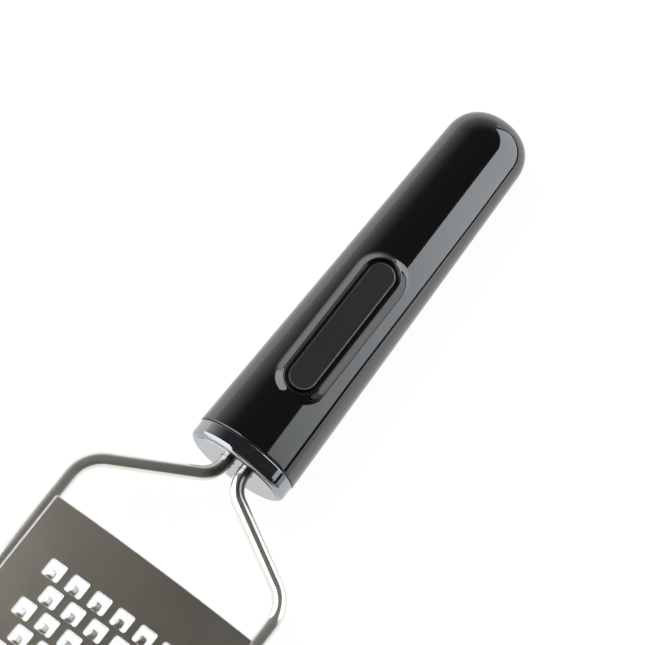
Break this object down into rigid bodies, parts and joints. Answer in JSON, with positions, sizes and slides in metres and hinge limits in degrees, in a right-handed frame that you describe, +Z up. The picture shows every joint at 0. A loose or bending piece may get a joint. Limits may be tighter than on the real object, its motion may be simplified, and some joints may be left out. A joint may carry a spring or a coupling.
{
  "type": "flat hand grater",
  "caption": "Hand-held flat grater: a bowed, toothed steel blade on a bent wire loop whose legs run through a polished ferrule into a tapered oval black handle.",
  "frame": {"origin": "bottom centre of the box round the whole grater, on the surface that it lies on", "axes": "+X runs along the tool from the blade to the tip of the handle, +Z is up and is the side that grates, +Y is across the blade"},
  "size_m": [0.2858, 0.0682, 0.0214],
  "materials": {
    "handle_black": "moulded, high gloss",
    "ferrule_polished": "mirror polished",
    "wire_polished": "drawn stainless wire, bright polished",
    "blade_satin": "satin rolled stainless sheet, punched",
    "badge_charcoal": "satin charcoal, bare",
    "inner_plastic": "unseen moulded core"
  },
  "bodies": {
    "root": {"handle_shell": "handle_black", "end_cap": "ferrule_polished", "tang_block_upper": "inner_plastic", "tang_block_lower": "inner_plastic", "wire_frame": "wire_polished", "grater_blade": "blade_satin", "badge_plate": "badge_charcoal"}
  },
  "joints": []
}
